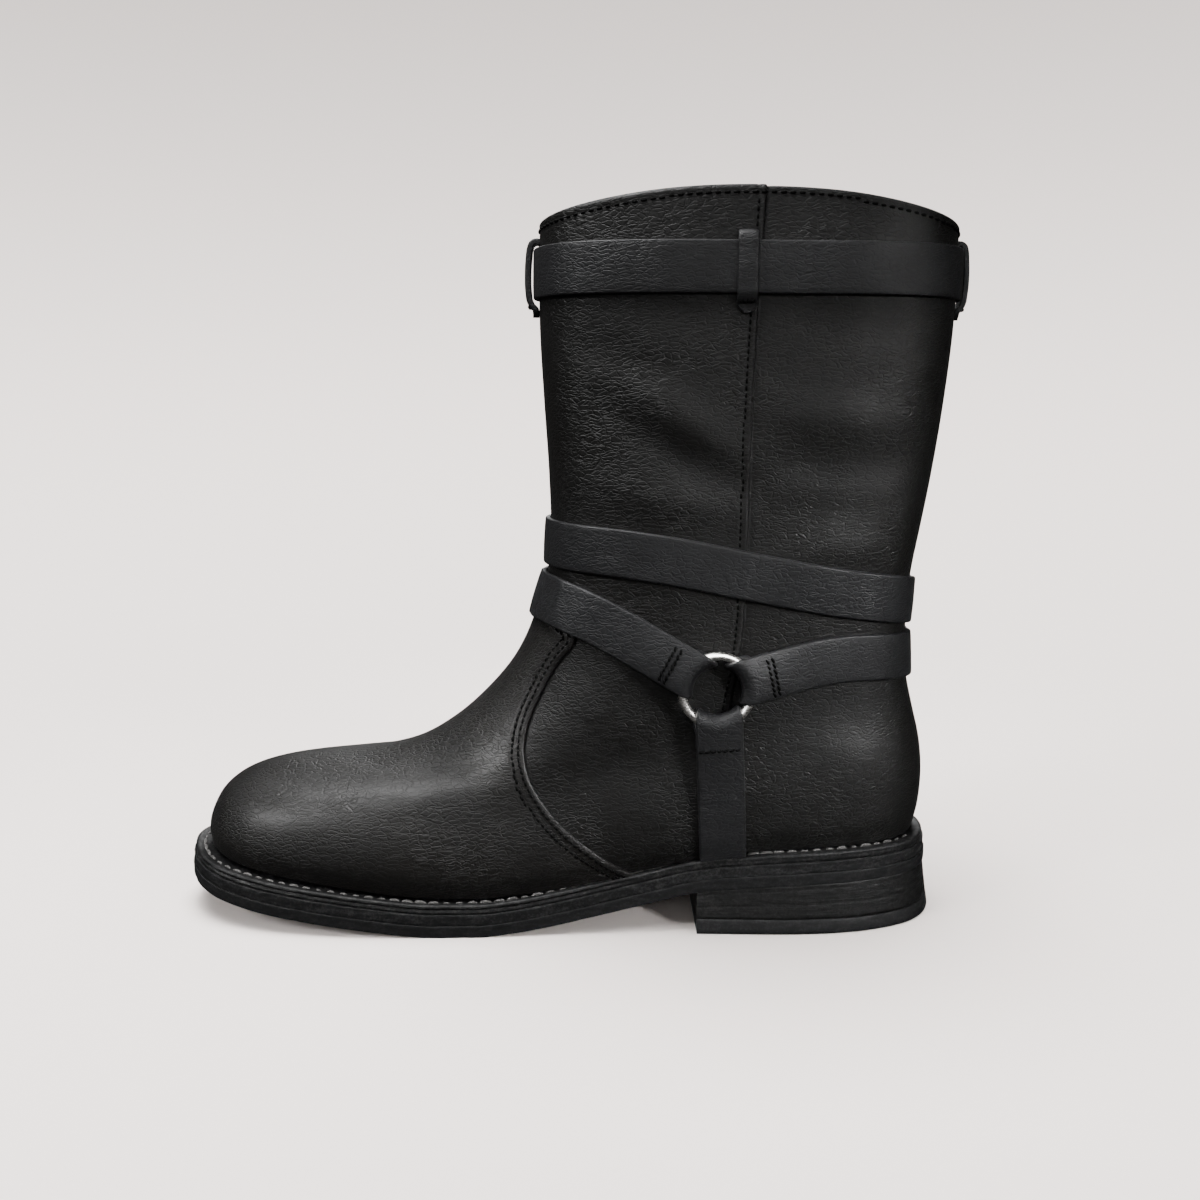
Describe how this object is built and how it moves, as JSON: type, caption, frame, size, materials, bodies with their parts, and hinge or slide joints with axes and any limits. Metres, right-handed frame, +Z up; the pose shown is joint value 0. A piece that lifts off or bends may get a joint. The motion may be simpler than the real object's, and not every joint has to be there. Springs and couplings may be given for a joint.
{
  "type": "mid-calf boot",
  "caption": "Mid-calf pull-on harness boot: hollow leather upper and shaft on a welted sole with a stacked heel, a belt in loops at the top and straps meeting at a ring on each side.",
  "frame": {"origin": "middle of the boot's box, on the floor", "axes": "+Z up, -X towards the toe, -Y towards the inner side of the right foot"},
  "size_m": [0.3093, 0.1026, 0.2792],
  "materials": {
    "black_leather": "satin pull-up",
    "strap_leather": "matte",
    "sole_edge": "scuffed",
    "heel_leather": "burnished",
    "sole_rubber": "matte",
    "insole_leather": "matte",
    "nickel": "brushed"
  },
  "bodies": {
    "root": {"outsole": "sole_rubber", "midsole": "sole_edge", "welt": "sole_edge", "heel_stack": "heel_leather", "heel_top_lift": "sole_rubber", "insole": "insole_leather", "upper": "black_leather", "vamp": "black_leather", "top_belt": "strap_leather", "ankle_strap": "strap_leather", "belt_loop_back": "strap_leather", "belt_loop_outer": "strap_leather", "belt_loop_front": "strap_leather", "belt_loop_inner": "strap_leather", "harness_front_strap": "strap_leather", "harness_back_strap": "strap_leather", "harness_side_strap_inner": "strap_leather", "harness_side_strap_outer": "strap_leather", "harness_ring_inner": "nickel", "harness_ring_outer": "nickel"}
  },
  "joints": []
}
